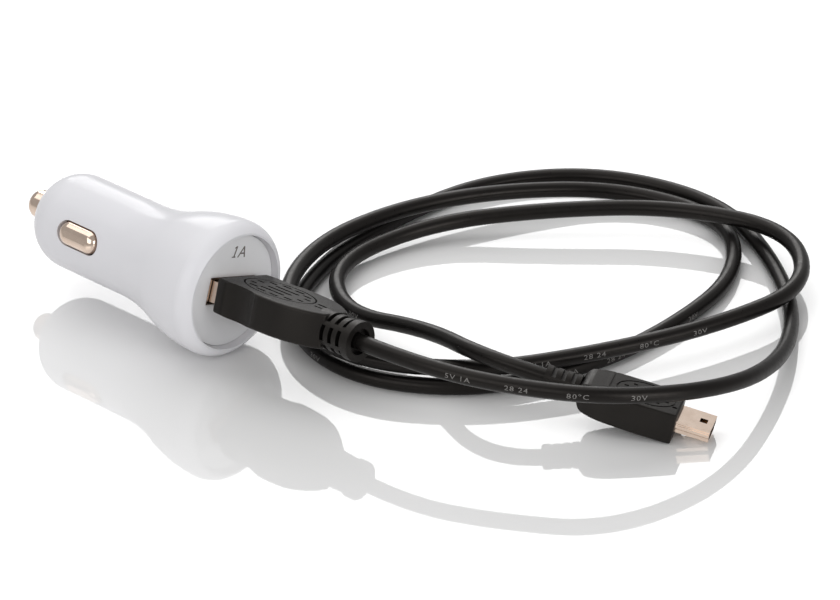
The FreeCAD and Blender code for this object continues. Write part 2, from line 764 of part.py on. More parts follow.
def ribbed_relief(name, start, end, radius, collar, collar_length, bite):
    """A round strain relief along X, slotted above and below, with a collar at its end."""
    barrel = doc.addObject("Part::Cone", name + "Barrel")
    bind(barrel, Radius1="%s * 1.04" % radius, Radius2="%s * 0.96" % radius,
         Height="%s - (%s)" % (end, start))
    ring = doc.addObject("Part::Cylinder", name + "Collar")
    bind(ring, Radius=collar, Height=collar_length)
    for piece, place in ((barrel, start), (ring, "%s - %s" % (end, collar_length))):
        piece.Placement.Rotation = Rotation(Y_AXIS, 90)
        piece.setExpression(".Placement.Base.x", expand(place))
    solid = fuse(name + "Solid", [barrel, ring])
    slots = []
    pitch = "((%s - %s - (%s)) / 4)" % (end, collar_length, start)
    for number in range(3):
        x_low = "%s + %s * %.2f" % (start, pitch, number + 1.5)
        for way in (-1, 1):
            z_middle = "%d * (%s + %s / 2)" % (way, bite, radius)
            slots.append(centred_box("%sSlot%d_%d" % (name, number, way + 1), x_low,
                                     pitch + " * 0.45", "2 * " + radius, radius,
                                     z_middle=z_middle))
    return cut(name + "Ribbed", solid, fuse(name + "Slots", slots))


def rounded_pad(body, name, corners, height, rounding):
    """A pad of an outline on the XY plane, centred on Z, with its long edges rounded."""
    sketch = outline(body, name + "Plan", "XY_Plane", corners)
    pad = pushed(body, "Pad", name + "Block", sketch, height, midplane=True)
    doc.recompute()
    rise = size(height) / 2
    rim = ["Edge%d" % (number + 1) for number, edge in enumerate(pad.Shape.Edges)
           if all(abs(abs(vertex.Point.z) - rise) < 1e-4 for vertex in edge.Vertexes)]
    soft = body.newObject("PartDesign::Fillet", name + "Rounding")
    soft.Base = (pad, rim)
    bind(soft, Radius=rounding)
    body.Tip = soft
    return body


def make_usb_a_grip(shell_box, core_box):
    """The soft overmoulding that the fingers hold, one piece with its strain relief."""
    side = "4.2 * grip_shoulder"
    shoulder = "0.95 * grip_shoulder"
    grip = rounded_pad(new_body("UsbAGrip"), "Grip", [
        ("grip_gap", "-" + GRIP_FRONT, side),
        ("grip_shoulder", "-" + GRIP_MIDDLE, shoulder),
        ("grip_tail", "-grip_neck"),
        ("grip_tail", "grip_neck", shoulder),
        ("grip_shoulder", GRIP_MIDDLE, side),
        ("grip_gap", GRIP_FRONT),
    ], GRIP_HEIGHT, "0.6")
    relief = ribbed_relief("UsbARelief", "grip_tail - 3", "relief_end", "relief_radius",
                           "collar_radius", "collar_length", "relief_radius * 0.62")
    whole = fuse("UsbAWhole", [grip, relief])
    inside = fuse("UsbAInside", [solid_copy("ShellRoom", shell_box), solid_copy("CoreRoom", core_box)])
    return keep(cut("UsbAOvermould", whole, inside), "usb_a_overmould", plug)


# --- mini-B plug ----------------------------------------------------------------

def stepped_outline(body, name, inset):
    """The mini-B section on the YZ plane: wide above, narrower below a side step."""
    top = "(mini_thick / 2 - %s)" % inset
    half = "(mini_width / 2 - %s)" % inset
    lower_half = "(mini_width / 2 - 0.7 - %s)" % inset
    return outline(body, name, "YZ_Plane", [
        ("-%s" % lower_half, "-%s" % top),
        (lower_half, "-%s" % top),
        (lower_half, "-0.75"),
        (half, "-0.15"),
        (half, top),
        ("-%s" % half, top),
        ("-%s" % half, "-0.15"),
        ("-%s" % lower_half, "-0.75"),
    ], "-mini_buried")


def make_mini_plug():
    """The mini-B plug's metal shell, insulator, contacts and hard inner moulding."""
    length = "mini_buried + mini_nose"
    body = new_body("MiniShell")
    pushed(body, "Pad", "Outside", stepped_outline(body, "Section", "0"), length)
    hollow = stepped_outline(body, "Hollow", "mini_wall")
    pushed(body, "Pocket", "Inside", hollow, midplane=True)
    latch = outline(body, "Latch", "XY_Plane", [
        ("mini_nose - 2.9", "-0.8"),
        ("mini_nose - 1.3", "-0.8"),
        ("mini_nose - 1.3", "0.8"),
        ("mini_nose - 2.9", "0.8"),
    ])
    pushed(body, "Pocket", "LatchHole", latch, "mini_thick", reversed_way=True)
    keep(body, "mini_b_shell", mini)

    bed = centred_box("MiniBed", "-mini_buried", length + " - 0.6", "mini_width - 2 * mini_wall - 2.2",
                      "0.9", z_middle="-mini_thick / 2 + mini_wall + 0.45")
    plug_end = centred_box("MiniBedEnd", "-mini_buried", "3", "mini_width - 2 * mini_wall - 1.4",
                           "mini_thick - 2 * mini_wall")
    keep(fuse("MiniBedBlock", [bed, plug_end]), "mini_b_insulator", mini)

    strips = []
    for number in range(5):
        strips.append(centred_box("MiniStrip%d" % number, "3 - mini_buried",
                                  length + " - 4.2", "0.35", "0.1", "%.1f" % (0.8 * (number - 2)),
                                  "-mini_thick / 2 + mini_wall + 0.95"))
    keep(group("MiniStrips", strips), "mini_b_contacts", mini)

    core = centred_box("MiniCore", "-mini_buried - 8", "8", "mini_width - 1.6", "mini_thick + 0.6")
    keep(group("MiniCoreGroup", [core]), "mini_b_inner_mould", mini)
    return core


def make_mini_grip(core_box):
    """The mini-B plug's overmoulding with its strain relief."""
    side = "5 * mini_grip_length"
    shoulder = "0.55 * mini_grip_length"
    knee = "-0.72 * mini_grip_length"
    tail = "-mini_grip_length"
    grip = rounded_pad(new_body("MiniGrip"), "MiniGripPad", [
        ("0", MINI_HALF, side),
        (knee, MINI_HALF, shoulder),
        (tail, "mini_neck"),
        (tail, "-mini_neck", shoulder),
        (knee, "-" + MINI_HALF, side),
        ("0", "-" + MINI_HALF),
    ], MINI_HEIGHT, "0.5")
    relief = ribbed_relief("MiniRelief", "mini_grip_length - 2", "mini_relief_end",
                           "mini_relief_radius", "mini_relief_radius", "1.2",
                           "mini_relief_radius * 0.62")
    relief.Placement = Placement(Vector(0, 0, 0), Rotation(Z_AXIS, 180))
    whole = fuse("MiniWhole", [grip, relief])
    room = new_body("MiniRoom")
    pushed(room, "Pad", "MiniRoomPad", stepped_outline(room, "RoomSection", "0"), "mini_buried + 1")
    inside = fuse("MiniInside", [room, solid_copy("MiniCoreRoom", core_box)])
    return keep(cut("MiniOvermould", whole, inside), "mini_b_overmould", mini)


# --- cord -----------------------------------------------------------------------

def cord_points():
    """The whole route: out of one strain relief, by the hand-laid points, into the other."""
    first = plug.multVec(Vector(size("relief_end"), 0, 0))
    first_out = plug.multVec(Vector(size("relief_end") + LEAD_OUT, 0, 0))
    last_out = mini.multVec(Vector(-size("mini_relief_end") - LEAD_OUT, 0, 0))
    last = mini.multVec(Vector(-size("mini_relief_end"), 0, 0))
    return [first, first_out] + [Vector(*spot) for spot in CORD_ROUTE] + [last_out, last]


def make_cord():
    """A round tube along straight runs that tangent arcs join."""
    points = cord_points()
    radius = size("cord_diameter / 2")
    edges = []
    here = points[0]
    for before, corner, after in zip(points, points[1:], points[2:]):
        back = before - corner
        ahead = after - corner
        setback = 0.45 * min(back.Length, ahead.Length)
        back.normalize()
        ahead.normalize()
        turn = math.pi - back.getAngle(ahead)
        bend = setback / math.tan(turn / 2)
        print("cord bend %5.1f mm, turn %4.1f deg at (%.1f, %.1f, %.1f)"
              % (bend, math.degrees(turn), corner.x, corner.y, corner.z))
        start = corner + back * setback
        end = corner + ahead * setback
        inward = (back + ahead).normalize()
        middle = corner + inward * (bend / math.cos(turn / 2) - bend)
        edges.append(Part.LineSegment(here, start).toShape())
        edges.append(Part.Arc(start, middle, end).toShape())
        here = end
    edges.append(Part.LineSegment(here, points[-1]).toShape())
    path = Part.Wire(edges)
    along = points[1] - points[0]
    section = Part.Wire(Part.Circle(points[0], along, radius).toShape())
    tube = path.makePipeShell([section], True, False)
    ideal = math.pi * radius * radius * path.Length
    print("cord length %.1f mm, volume %.1f of %.1f mm3" % (path.Length, tube.Volume, ideal))
    cord = doc.addObject("Part::Feature", "Cord")
    cord.Shape = tube
    return keep(cord, "cord", Placement())


# --- the whole charger ----------------------------------------------------------

make_body_shell()
make_face_plate()
make_centre_contact()
make_centre_spring()
make_spring_cup()
for side_name, side_way in (("near", -1), ("far", 1)):
    make_ground_contact("ground_contact_" + side_name, side_way)
    make_ground_spring("ground_spring_" + side_name, side_way)
make_port()
make_board()
make_inductor()
make_capacitor("input_capacitor", -1)
make_capacitor("output_capacitor", 1)
make_small_parts()
usb_a_shell_box, usb_a_core_box = make_usb_a_plug()
make_usb_a_grip(usb_a_shell_box, usb_a_core_box)
mini_core_box = make_mini_plug()
make_mini_grip(mini_core_box)
make_cord()

doc.recompute()
for thing in doc.Objects:
    if "Invalid" in thing.State or "Error" in thing.State:
        raise RuntimeError("%s (%s) did not build: %s" % (thing.Name, thing.Label, thing.State))

os.makedirs("parts", exist_ok=True)
for piece in sub_parts:
    if piece.Shape.isNull() or not piece.Shape.isValid():
        raise RuntimeError("%s has no valid shape" % piece.Label)
    piece.Shape.exportStep(os.path.join("parts", piece.Label + ".step"))
    print("%-22s %9.1f mm3, %d solid(s)" % (piece.Label, piece.Shape.Volume, len(piece.Shape.Solids)))
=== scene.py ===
"""Looks for a 12 V car charger with its plugged-in lead.

Everything is in metres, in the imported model's own frame: the charger lies along X with
its open face at +X, and the lead's loose turns lie on the floor beside it.
"""

import logging
import math
from dataclasses import dataclass, field
from enum import Enum
from typing import Iterable, Optional, Sequence

import bpy
from mathutils import Matrix, Vector


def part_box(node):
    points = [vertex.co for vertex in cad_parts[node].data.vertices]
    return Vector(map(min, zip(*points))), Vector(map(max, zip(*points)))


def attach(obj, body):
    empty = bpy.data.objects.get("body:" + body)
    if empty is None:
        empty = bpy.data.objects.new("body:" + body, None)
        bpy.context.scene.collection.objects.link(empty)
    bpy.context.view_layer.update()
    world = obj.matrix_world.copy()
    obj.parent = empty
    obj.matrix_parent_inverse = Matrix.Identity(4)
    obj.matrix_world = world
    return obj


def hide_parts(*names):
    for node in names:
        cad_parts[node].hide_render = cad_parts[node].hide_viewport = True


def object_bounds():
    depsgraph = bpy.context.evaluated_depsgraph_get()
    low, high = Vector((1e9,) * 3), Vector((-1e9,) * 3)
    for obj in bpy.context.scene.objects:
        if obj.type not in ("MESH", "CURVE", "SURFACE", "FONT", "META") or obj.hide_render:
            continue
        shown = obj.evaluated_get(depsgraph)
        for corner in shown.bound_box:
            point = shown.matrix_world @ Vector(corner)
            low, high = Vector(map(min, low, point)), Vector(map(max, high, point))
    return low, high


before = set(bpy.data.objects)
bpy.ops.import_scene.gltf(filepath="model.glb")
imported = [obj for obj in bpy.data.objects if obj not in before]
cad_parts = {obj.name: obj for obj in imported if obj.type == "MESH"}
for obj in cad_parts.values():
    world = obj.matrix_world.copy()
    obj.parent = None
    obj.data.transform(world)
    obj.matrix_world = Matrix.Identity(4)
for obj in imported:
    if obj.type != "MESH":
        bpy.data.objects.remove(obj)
CAD_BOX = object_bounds()
MM = 0.001

# A capital letter's height as a share of the font size.
CAPITAL = 0.73

log = logging.getLogger("charger")


class Slot(str, Enum):
    """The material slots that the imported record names."""

    WHITE_GLOSS = "white_gloss"
    WHITE_SATIN = "white_satin"
    NICKEL = "nickel"
    SPRING_STEEL = "spring_steel"
    PORT_PLASTIC = "port_plastic"
    GOLD_CONTACT = "gold_contact"
    BOARD_GREEN = "board_green"
    FERRITE = "ferrite"
    COPPER = "copper"
    CAPACITOR_SLEEVE = "capacitor_sleeve"
    CHIP_BLACK = "chip_black"
    TIN = "tin"
    FUSE_CERAMIC = "fuse_ceramic"
    INNER_PLASTIC = "inner_plastic"
    BLACK_GRIP = "black_grip"
    BLACK_CORD = "black_cord"


class Body(str, Enum):
    """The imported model's bodies that carry pieces made here."""

    CHARGER = "charger"
    LEAD = "lead"


# --- finishes ---------------------------------------------------------------------

Colour = tuple[float, float, float]
Point = tuple[float, float, float]


class Recipe:
    """One node material being written, with short calls to add and join its nodes."""

    def __init__(self, name: str) -> None:
        """Start an empty material.

        Args:
            name: the material's name.
        """
        self.material = bpy.data.materials.new(name)
        self.material.use_nodes = True
        self.tree = self.material.node_tree
        self.shader = self.tree.nodes["Principled BSDF"]
        self.place = self.add("ShaderNodeTexCoord").outputs["Object"]

    def add(self, kind: str, **values: object) -> bpy.types.Node:
        """Add a node and set its properties.

        Args:
            kind: the node's type name.
            **values: properties of the node.

        Returns:
            The new node.
        """
        node = self.tree.nodes.new(kind)
        for key, value in values.items():
            setattr(node, key, value)
        return node

    def join(self, source: bpy.types.NodeSocket, target: bpy.types.NodeSocket) -> None:
        """Link an output to an input.

        Args:
            source: the output.
            target: the input.
        """
        self.tree.links.new(source, target)

    def shade(self, **values: object) -> None:
        """Set sockets on the shader; an underscore stands for a space.

        Args:
            **values: socket names and the values they take.
        """
        for key, value in values.items():
            socket = self.shader.inputs[key.replace("_", " ")]
            if isinstance(value, tuple) and len(value) == 3:
                value = (*value, 1.0)
            socket.default_value = value

    def noise(self, scale: float, detail: float = 3.0,
              stretch: Optional[Point] = None) -> bpy.types.NodeSocket:
        """Add a noise pattern.

        Args:
            scale: cells per metre.
            detail: how many finer layers it has.
            stretch: scaling of the three axes before the pattern.

        Returns:
            The pattern's value output.
        """
        source = self.place
        if stretch:
            mapping = self.add("ShaderNodeMapping")
            mapping.inputs["Scale"].default_value = stretch
            self.join(source, mapping.inputs["Vector"])
            source = mapping.outputs["Vector"]
        noise = self.add("ShaderNodeTexNoise")
        noise.inputs["Scale"].default_value = scale
        noise.inputs["Detail"].default_value = detail
        self.join(source, noise.inputs["Vector"])
        return noise.outputs["Fac"]

    def between(self, value: bpy.types.NodeSocket, low: float, high: float,
                start: float = 0.3, end: float = 0.7) -> bpy.types.NodeSocket:
        """Spread a pattern's value over a range.

        Args:
            value: the pattern.
            low: what its dark parts become.
            high: what its bright parts become.
            start: the pattern's value that gives low.
            end: the pattern's value that gives high.

        Returns:
            The spread value.
        """
        spread = self.add("ShaderNodeMapRange")
        self.join(value, spread.inputs["Value"])
        spread.inputs["From Min"].default_value = start
        spread.inputs["From Max"].default_value = end
        spread.inputs["To Min"].default_value = low
        spread.inputs["To Max"].default_value = high
        return spread.outputs["Result"]

    def tones(self, value: bpy.types.NodeSocket, dark: Colour, light: Colour,
              start: float = 0.3, end: float = 0.7) -> bpy.types.NodeSocket:
        """Turn a pattern's value into a blend of two colours.

        Args:
            value: the pattern.
            dark: the colour at start.
            light: the colour at end.
            start: the pattern's value that gives the dark colour.
            end: the pattern's value that gives the light colour.

        Returns:
            The colour output.
        """
        ramp = self.add("ShaderNodeValToRGB")
        ramp.color_ramp.elements[0].position = start
        ramp.color_ramp.elements[0].color = (*dark, 1.0)
        ramp.color_ramp.elements[1].position = end
        ramp.color_ramp.elements[1].color = (*light, 1.0)
        self.join(value, ramp.inputs["Fac"])
        return ramp.outputs["Color"]

    def relief(self, height: bpy.types.NodeSocket, depth: float, strength: float,
               under: Optional[bpy.types.Node] = None) -> bpy.types.Node:
        """Bump the surface by a pattern.

        Args:
            height: the pattern.
            depth: the height of its full range in metres.
            strength: how much of it shows.
            under: a coarser bump that this one rides on.

        Returns:
            The bump node, already joined to the shader.
        """
        bump = self.add("ShaderNodeBump")
        bump.inputs["Strength"].default_value = strength
        bump.inputs["Distance"].default_value = depth
        self.join(height, bump.inputs["Height"])
        if under:
            self.join(under.outputs["Normal"], bump.inputs["Normal"])
        self.join(bump.outputs["Normal"], self.shader.inputs["Normal"])
        return bump

    def paint(self, socket: str, value: bpy.types.NodeSocket) -> None:
        """Feed one of the shader's sockets from a pattern.

        Args:
            socket: the socket's name.
            value: the pattern's output.
        """
        self.join(value, self.shader.inputs[socket])


@dataclass(frozen=True)
class MouldedGloss:
    """Polished moulded plastic: a faint flow in its colour and a slight orange peel."""

    light: Colour
    shade: Colour
    roughness: float = 0.20
    specular: float = 0.20
    peel: float = 0.05

    def make(self, name: str) -> bpy.types.Material:
        """Write the material.

        Args:
            name: the material's name.

        Returns:
            The material.
        """
        recipe = Recipe(name)
        recipe.shade(IOR=1.49, Specular_IOR_Level=self.specular)
        flow = recipe.noise(60.0, 2.0, (0.35, 1.0, 1.0))
        recipe.paint("Base Color", recipe.tones(flow, self.shade, self.light))
        smear = recipe.noise(240.0, 3.0)
        recipe.paint("Roughness",
                     recipe.between(smear, self.roughness * 0.8, self.roughness * 1.25))
        recipe.relief(recipe.noise(700.0, 1.0), 0.00002, self.peel)
        return recipe.material


@dataclass(frozen=True)
class MouldedSatin:
    """Spark-textured plastic: fine even grain over a quiet colour."""

    light: Colour
    shade: Colour
    roughness: float = 0.42
    grain: float = 9000.0
    depth: float = 0.00002
    tint: Colour = (1.0, 1.0, 1.0)
    specular: float = 0.5

    def make(self, name: str) -> bpy.types.Material:
        """Write the material.

        Args:
            name: the material's name.

        Returns:
            The material.
        """
        recipe = Recipe(name)
        recipe.shade(IOR=1.5, Specular_Tint=self.tint, Specular_IOR_Level=self.specular)
        drift = recipe.noise(180.0, 4.0)
        recipe.paint("Base Color", recipe.tones(drift, self.shade, self.light))
        grain = recipe.noise(self.grain, 2.0)
        recipe.paint("Roughness",
                     recipe.between(grain, self.roughness * 0.85, self.roughness * 1.2))
        soft = recipe.relief(drift, self.depth * 2.0, 0.25)
        recipe.relief(grain, self.depth, 0.5, under=soft)
        return recipe.material


@dataclass(frozen=True)
class Plated:
    """Bright plated or bare metal: drawn streaks, small stains and a fine scratch."""

    light: Colour
    shade: Colour
    roughness: float = 0.2
    streak: Colour = (0.08, 1.0, 1.0)

    def make(self, name: str) -> bpy.types.Material:
        """Write the material.

        Args:
            name: the material's name.

        Returns:
            The material.
        """
        recipe = Recipe(name)
        recipe.shade(Metallic=1.0)
        stain = recipe.noise(420.0, 4.0)
        recipe.paint("Base Color", recipe.tones(stain, self.shade, self.light))
        drawn = recipe.noise(5200.0, 3.0, self.streak)
        recipe.paint("Roughness",
                     recipe.between(drawn, self.roughness * 0.75, self.roughness * 1.35))
        recipe.relief(drawn, 0.000006, 0.25)
        return recipe.material


@dataclass(frozen=True)
class CordJacket:
    """Soft black sheath: satin, with a slow change of gloss along and round it."""

    light: Colour = (0.005, 0.0044, 0.0041)
    shade: Colour = (0.003, 0.0026, 0.0025)
    roughness: float = 0.32

    def make(self, name: str) -> bpy.types.Material:
        """Write the material.

        Args:
            name: the material's name.

        Returns:
            The material.
        """
        recipe = Recipe(name)
        recipe.shade(IOR=1.5, Specular_Tint=(1.0, 0.92, 0.86), Specular_IOR_Level=0.25)
        slow = recipe.noise(90.0, 3.0)
        recipe.paint("Base Color", recipe.tones(slow, self.shade, self.light))
        matt = recipe.noise(900.0, 4.0)
        recipe.paint("Roughness",
                     recipe.between(matt, self.roughness * 0.85, self.roughness * 1.25))
        wave = recipe.relief(recipe.noise(260.0, 1.0), 0.00006, 0.35)
        recipe.relief(recipe.noise(8000.0, 2.0), 0.000008, 0.3, under=wave)
        return recipe.material


@dataclass(frozen=True)
class BoardLaminate:
    """Green solder resist with lighter tracks under it."""

    resist: Colour = (0.012, 0.10, 0.035)
    track: Colour = (0.03, 0.20, 0.075)

    def make(self, name: str) -> bpy.types.Material:
        """Write the material.

        Args:
            name: the material's name.

        Returns:
            The material.
        """
        recipe = Recipe(name)
        recipe.shade(Roughness=0.28, Coat_Weight=0.5, Coat_Roughness=0.12)
        cells = recipe.add("ShaderNodeTexVoronoi", distance="MANHATTAN",
                           feature="DISTANCE_TO_EDGE")
        cells.inputs["Scale"].default_value = 420.0
        recipe.join(recipe.place, cells.inputs["Vector"])
        lines = cells.outputs["Distance"]
        recipe.paint("Base Color", recipe.tones(lines, self.track, self.resist, 0.08, 0.12))
        recipe.relief(recipe.between(lines, 1.0, 0.0, 0.08, 0.12), 0.00003, 0.6)
        return recipe.material


@dataclass(frozen=True)
class WoundWire:
    """Enamelled copper wire laid in close turns, drawn as fine ridges, with painted shade
    darkening the troughs between the turns.
    """

    light: Colour = (0.72, 0.30, 0.12)
    shade: Colour = (0.38, 0.13, 0.05)
    turns_per_metre: float = 2600.0

    def make(self, name: str) -> bpy.types.Material:
        """Write the material.

        Args:
            name: the material's name.

        Returns:
            The material.
        """
        recipe = Recipe(name)
        recipe.shade(Metallic=1.0, Roughness=0.3)
        wave = recipe.add("ShaderNodeTexWave", bands_direction="Z")
        wave.inputs["Scale"].default_value = self.turns_per_metre / math.tau
        wave.inputs["Distortion"].default_value = 0.4
        recipe.join(recipe.place, wave.inputs["Vector"])
        # The bands' low parts, the troughs between the turns, take the dark colour: this is
        # painted shade between the turns, and the ridges' tops are painted lighter.
        recipe.paint("Base Color", recipe.tones(wave.outputs["Fac"], self.shade, self.light))
        recipe.relief(wave.outputs["Fac"], 0.00012, 0.8)
        return recipe.material


@dataclass(frozen=True)
class PrintInk:
    """Thin printed ink: slightly broken cover with a dull surface."""

    light: Colour
    shade: Colour

    def make(self, name: str) -> bpy.types.Material:
        """Write the material.

        Args:
            name: the material's name.

        Returns:
            The material.
        """
        recipe = Recipe(name)
        recipe.shade(Roughness=0.55)
        wear = recipe.noise(9000.0, 3.0)
        recipe.paint("Base Color", recipe.tones(wear, self.shade, self.light, 0.38, 0.55))
        recipe.relief(wear, 0.000006, 0.4)
        return recipe.material


@dataclass(frozen=True)
class FloorAcrylic:
    """Pale polished sheet that shows a soft mirror image of what stands on it."""

    tone: float = 0.88
    depth: float = 1.7

    def make(self, name: str) -> bpy.types.Material:
        """Write the material.

        Args:
            name: the material's name.

        Returns:
            The material.
        """
        recipe = Recipe(name)
        recipe.shade(IOR=self.depth)
        haze = recipe.noise(7.0, 2.0)
        pale = (self.tone, self.tone, self.tone)
        warm = (self.tone, self.tone * 0.995, self.tone * 0.99)
        recipe.paint("Base Color", recipe.tones(haze, warm, pale))
        recipe.paint("Roughness", recipe.between(recipe.noise(30.0, 2.0), 0.025, 0.04))
        return recipe.material


FINISHES = {
    Slot.WHITE_GLOSS: MouldedGloss((0.80, 0.795, 0.82), (0.77, 0.765, 0.795)),
    Slot.WHITE_SATIN: MouldedSatin((0.86, 0.86, 0.87), (0.83, 0.83, 0.845), 0.36, 5200.0),
    Slot.NICKEL: Plated((0.86, 0.70, 0.585), (0.78, 0.62, 0.51), 0.13),
    Slot.SPRING_STEEL: Plated((0.60, 0.60, 0.61), (0.47, 0.47, 0.48), 0.26),
    Slot.PORT_PLASTIC: MouldedSatin((0.026, 0.026, 0.028), (0.016, 0.016, 0.017), 0.4, 7000.0),
    Slot.GOLD_CONTACT: Plated((0.92, 0.67, 0.27), (0.80, 0.55, 0.20), 0.16),
    Slot.BOARD_GREEN: BoardLaminate(),
    Slot.FERRITE: MouldedSatin((0.055, 0.053, 0.055), (0.028, 0.027, 0.028), 0.6, 3000.0, 0.00005),
    Slot.COPPER: WoundWire(),
    Slot.CAPACITOR_SLEEVE: MouldedGloss((0.045, 0.06, 0.12), (0.03, 0.042, 0.09), 0.28, 0.2),
    Slot.CHIP_BLACK: MouldedSatin((0.03, 0.03, 0.031), (0.018, 0.018, 0.019), 0.5, 6000.0),
    Slot.TIN: Plated((0.76, 0.76, 0.77), (0.60, 0.60, 0.62), 0.3),
    Slot.FUSE_CERAMIC: MouldedSatin((0.62, 0.58, 0.50), (0.50, 0.46, 0.39), 0.5, 4000.0),
    Slot.INNER_PLASTIC: MouldedSatin((0.30, 0.30, 0.31), (0.22, 0.22, 0.23), 0.45, 4000.0),
    Slot.BLACK_GRIP: MouldedSatin((0.006, 0.0054, 0.005), (0.0038, 0.0034, 0.0032), 0.40, 4200.0,
                                  0.00003, (1.0, 0.92, 0.85), 0.30),
    Slot.BLACK_CORD: CordJacket(),
}


@dataclass
class FinishShelf:
    """Every finish, made once and handed out by slot."""

    made: dict[Slot, bpy.types.Material] = field(default_factory=dict)

    def of(self, slot: Slot) -> bpy.types.Material:
        """Give the material of a slot, making it the first time.

        Args:
            slot: the slot asked for.

        Returns:
            The material.
        """
        if slot not in self.made:
            self.made[slot] = FINISHES[slot].make("finish_" + slot.value)
        return self.made[slot]

    def dress(self, node: str) -> None:
        """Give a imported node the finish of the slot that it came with.

        Args:
            node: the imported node's name.
        """
        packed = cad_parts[node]
        for place in packed.material_slots:
            slot = Slot(place.material.name.split(".")[0])
            place.material = self.of(slot)
            log.info("dressed %s in %s", node, slot.value)


# --- modelling helpers --------------------------------------------------------------

def clear_selection() -> None:
    """Leave nothing selected, in object mode."""
    if bpy.context.object and bpy.context.object.mode != "OBJECT":
        bpy.ops.object.mode_set(mode="OBJECT")
    bpy.ops.object.select_all(action="DESELECT")


def take_up(piece: bpy.types.Object) -> None:
    """Make a piece the only selected and the active one.

    Args:
        piece: the piece.
    """
    clear_selection()
    piece.select_set(True)
    bpy.context.view_layer.objects.active = piece


def merged_copy(node: str, name: str) -> bpy.types.Object:
    """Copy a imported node's mesh into a piece of its own, with its triangles merged.

    Args:
        node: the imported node.
        name: the new piece's name.

    Returns:
        The new piece.
    """
    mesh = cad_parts[node].data.copy()
    mesh.materials.clear()
    piece = bpy.data.objects.new(name, mesh)
    bpy.context.scene.collection.objects.link(piece)
    take_up(piece)
    bpy.ops.mesh.customdata_custom_splitnormals_clear()
    bpy.ops.object.mode_set(mode="EDIT")
    bpy.ops.mesh.select_all(action="SELECT")
    bpy.ops.mesh.remove_doubles(threshold=0.002 * MM)
    bpy.ops.object.mode_set(mode="OBJECT")
    return piece


def apply_modifier(piece: bpy.types.Object, kind: str, **values: object) -> None:
    """Add a modifier and apply it.

    Args:
        piece: the piece it works on.
        kind: the modifier's type.
        **values: its settings.
    """
    take_up(piece)
    modifier = piece.modifiers.new(kind.title(), kind)
    for key, value in values.items():
        setattr(modifier, key, value)
    bpy.ops.object.modifier_apply(modifier=modifier.name)


def settle(piece: bpy.types.Object, placement: Matrix) -> None:
    """Put a piece's place into its mesh, so that its object sits at the origin.

    Args:
        piece: the piece.
        placement: where it goes, on top of where it is.
    """
    piece.data.transform(placement @ piece.matrix_basis)
    piece.matrix_basis = Matrix.Identity(4)


def joined(pieces: Sequence[bpy.types.Object], name: str) -> bpy.types.Object:
    """Join several pieces into one.

    Args:
        pieces: the pieces, of which the first is kept.
        name: the name of the whole.

    Returns:
        The joined piece.
    """
    clear_selection()
    for piece in pieces:
        piece.select_set(True)
    bpy.context.view_layer.objects.active = pieces[0]
    if len(pieces) > 1:
        bpy.ops.object.join()
    pieces[0].name = name
    return pieces[0]


def carve(piece: bpy.types.Object, cutter: bpy.types.Object) -> None:
    """Cut one piece with another and drop the second.

    Args:
        piece: the piece that is kept.
        cutter: the piece that is used up.
    """
    apply_modifier(piece, "BOOLEAN", operation="DIFFERENCE", object=cutter, solver="EXACT")
    bpy.data.objects.remove(cutter)


def smooth(piece: bpy.types.Object, degrees: float = 32.0) -> None:
    """Shade smooth across edges flatter than an angle.

    Args:
        piece: the piece.
        degrees: the angle from which an edge stays sharp.
    """
    take_up(piece)
    bpy.ops.object.shade_smooth_by_angle(angle=math.radians(degrees))


def pill(length: float, width: float, depth: float, x: float, y: float,
         z: float) -> bpy.types.Object:
    """A round-ended bar lying along X, as a cutter or a raised mark.

    Args:
        length: overall length.
        width: width and the round ends' diameter.
        depth: its height along Z.
        x: the middle's place along X.
        y: the middle's place along Y.
        z: the middle's place along Z.

    Returns:
        The bar.
    """
    clear_selection()
    bpy.ops.mesh.primitive_cube_add(size=1.0, location=(x, y, z))
    bar = bpy.context.object
    bar.scale = (length, width, depth)
    bpy.ops.object.transform_apply(location=True, rotation=False, scale=True)
    bpy.ops.object.mode_set(mode="EDIT")
    bpy.context.tool_settings.mesh_select_mode = (False, True, False)
    bpy.ops.mesh.select_all(action="DESELECT")
    bpy.ops.object.mode_set(mode="OBJECT")
    for edge in bar.data.edges:
        ends = [bar.data.vertices[index].co for index in edge.vertices]
        edge.select = abs(ends[0].z - ends[1].z) > depth / 2
    bpy.ops.object.mode_set(mode="EDIT")
    bpy.ops.mesh.bevel(offset=0.49 * min(width, length), segments=5, affect="EDGES")
    bpy.ops.object.mode_set(mode="OBJECT")
    return bar


def oval_ring(half_long: float, half_wide: float, width: float, depth: float, x: float,
              z: float) -> bpy.types.Object:
    """An upright oval wall, as the cutter of a groove.

    Args:
        half_long: half of the oval along X.
        half_wide: half of the oval along Y.
        width: the groove's width.
        depth: the wall's height.
        x: the oval's middle along X.
        z: the wall's middle along Z.

    Returns:
        The ring.
    """
    clear_selection()
    bpy.ops.mesh.primitive_circle_add(vertices=72, radius=1.0, location=(x, 0, z - depth / 2))
    ring = bpy.context.object
    ring.scale = (half_long, half_wide, 1.0)
    bpy.ops.object.transform_apply(location=True, rotation=False, scale=True)
    bpy.ops.object.mode_set(mode="EDIT")
    bpy.ops.mesh.select_all(action="SELECT")
    bpy.ops.mesh.extrude_region_move(TRANSFORM_OT_translate={"value": (0, 0, depth)})
    bpy.ops.object.mode_set(mode="OBJECT")
    apply_modifier(ring, "SOLIDIFY", thickness=width, offset=0.0)
    take_up(ring)
    bpy.ops.object.mode_set(mode="EDIT")
    bpy.ops.mesh.select_all(action="SELECT")
    bpy.ops.mesh.normals_make_consistent(inside=False)
    bpy.ops.object.mode_set(mode="OBJECT")
    return ring


